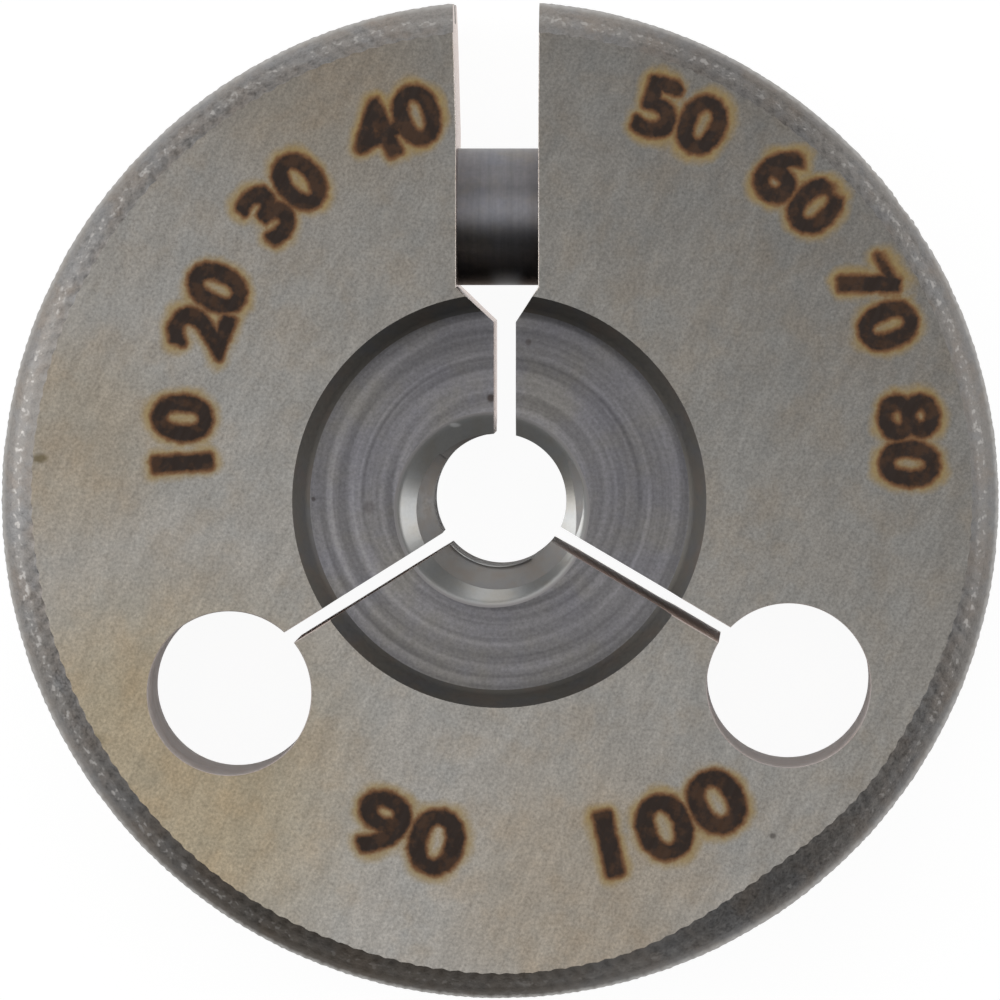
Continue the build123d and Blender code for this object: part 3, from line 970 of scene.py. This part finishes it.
# ------------------------------------------------
# Adjusting screw
# A short hollow screw with no head, blackened, threaded outside and slotted across its outer
# end.  It bears on the sleeve, and turning it in pushes the lobes apart.
adjusting_radius, adjusting_left, adjusting_right = 2.4, 3.614, 7.814
adjusting_edge, passage_radius = 0.3, 1.24
counterbore_radius, counterbore_depth, counterbore_edge = 1.75, 1.5, 0.06
screw_black = bpy.data.materials.new("black_oxide")
steel(screw_black, 0.6, "3a3836 4a4038 33363a", 1.3, 0.6, 9.0, 0.15, (0.34, 0.52))


def cut_screw(piece, slot_width, slot_depth, top, reach, groove):
    """Cuts the driver slot and the thread into a screw that stands along Z, and lays it in its hole."""
    cutters = box("slot", slot_width / 2, reach, top - slot_depth, top + 1), groove
    for cutter in cutters:
        cutting = piece.modifiers.new("cut", "BOOLEAN")
        cutting.operation, cutting.solver, cutting.object = "DIFFERENCE", "MANIFOLD", cutter
    piece.data = plain_mesh(piece)
    piece.modifiers.clear()
    for cutter in cutters:
        bpy.data.objects.remove(cutter)
    piece.data.transform(across)
    piece.data.materials.clear()
    finish_with(piece, screw_black)


adjusting = turned("adjusting", [
    (passage_radius, adjusting_left), (adjusting_radius - adjusting_edge, adjusting_left),
    (adjusting_radius, adjusting_left + adjusting_edge), (adjusting_radius, adjusting_right - adjusting_edge),
    (adjusting_radius - adjusting_edge, adjusting_right),
    (counterbore_radius + counterbore_edge, adjusting_right),
    (counterbore_radius, adjusting_right - counterbore_edge),
    (counterbore_radius, adjusting_right - counterbore_depth),
    (passage_radius, adjusting_right - counterbore_depth), (passage_radius, adjusting_left)], 128)
cut_screw(adjusting, 0.8, 0.7, adjusting_right, 3.0, thread_groove(
    "adjusting_thread", screw_black, adjusting_pitch, adjusting_radius,
    adjusting_radius - adjusting_thread_depth, adjusting_left - thread_runout,
    adjusting_right + thread_runout, adjusting_steps))
to_frame(adjusting, "adjuster", "screw_steel", "adjusting_screw")

# ------------------------------------------------
# Locking screw
# A long slender slotted screw, blackened like the other.  It passes down the middle of the
# adjusting screw and the sleeve and screws into the left lobe, to pull the lobes together.
locking_radius, locking_tip, head_seat, head_top = 1.09, -7.386, 6.314, 7.514
head_radius, head_edge, tip_edge = 1.65, 0.15, 0.3
thread_end, neck_start, neck_radius, neck_flare = -2.6, -2.5, 1.03, 0.1
locking = turned("locking", [
    (0, locking_tip), (locking_radius - tip_edge, locking_tip), (locking_radius, locking_tip + tip_edge),
    (locking_radius, thread_end), (neck_radius, neck_start), (neck_radius, head_seat - neck_flare),
    (locking_radius, head_seat), (head_radius, head_seat), (head_radius, head_top - head_edge),
    (head_radius - head_edge, head_top), (0, head_top)], 96)
cut_screw(locking, 0.5, 0.5, head_top, 2.0, thread_groove(
    "locking_thread", screw_black, locking_pitch, locking_radius,
    locking_radius - locking_thread_depth, locking_tip - tip_edge, thread_end, locking_steps))
to_frame(locking, "locker", "screw_steel", "locking_screw")

# ------------------------------------------------
# Table, light and camera
# The gauge lies on a plain pale table under soft light, seen from almost straight above.
table_tone, table_glow = (0.14, 0.14, 0.14, 1), 0.94
room_light = 0.15
bpy.ops.mesh.primitive_plane_add(size=0.6, location=(0, 0, 0))
table = bpy.context.object
table.name = "table"
table_paint = bpy.data.materials.new("table_paint")
tree = emptied(table_paint)
matt = node(tree, "ShaderNodeBsdfDiffuse", {"Color": table_tone})
ray = node(tree, "ShaderNodeLightPath").outputs
shown = calc(tree, "MAXIMUM", calc(tree, "MAXIMUM", ray["Is Camera Ray"], ray["Is Glossy Ray"]),
             ray["Is Transmission Ray"])
glow = node(tree, "ShaderNodeEmission", {"Color": WHITE, "Strength": times(tree, shown, table_glow)})
both = node(tree, "ShaderNodeAddShader", {0: matt.outputs[0], 1: glow.outputs[0]})
tree.links.new(both.outputs[0], node(tree, "ShaderNodeOutputMaterial").inputs[0])
table.data.materials.append(table_paint)

world = bpy.data.worlds.new("studio")
bpy.context.scene.world = world
tree = emptied(world)
shown = node(tree, "ShaderNodeLightPath").outputs["Is Camera Ray"]
dim = node(tree, "ShaderNodeBackground", {"Color": WHITE, "Strength": room_light})
bright = node(tree, "ShaderNodeBackground", {"Color": WHITE, "Strength": 1.0})
chosen = node(tree, "ShaderNodeMixShader", {0: shown, 1: dim.outputs[0], 2: bright.outputs[0]})
tree.links.new(chosen.outputs[0], node(tree, "ShaderNodeOutputWorld").inputs[0])

# Four square lamps, each with its place, its width in metres and its power in watts.
for name, place, size, power in (
        ("overhead", (-0.05, 0.12, 0.5), 0.5, 0.80), ("left", (-0.38, 0.05, 0.14), 0.24, 0.42),
        ("right", (0.38, 0.03, 0.14), 0.24, 0.30), ("back", (0.0, 0.38, 0.14), 0.24, 0.16)):
    lamp = bpy.data.lights.new(name, "AREA")
    lamp.size, lamp.energy = size, power
    holder = placed(name, lamp)
    holder.location = place
    holder.rotation_euler = (-Vector(place)).to_track_quat("-Z", "Y").to_euler()

eye = Vector((6.0, 8.0, 407.14)) / 1000
aim = Vector((0.008, 0.006, 6.39)) / 1000
lens = bpy.data.cameras.new("camera")
lens.lens, lens.sensor_width = 567.6, 36.0
lens.clip_start, lens.clip_end = 0.01, 5.0
camera = placed("camera", lens)
camera.location = eye
backwards = (eye - aim).normalized()
rightwards = Vector((0, 1, 0)).cross(backwards).normalized()
camera.rotation_euler = Matrix((rightwards, backwards.cross(rightwards), backwards)).transposed().to_euler()
bpy.context.scene.camera = camera
bpy.context.scene.view_settings.view_transform = "Standard"
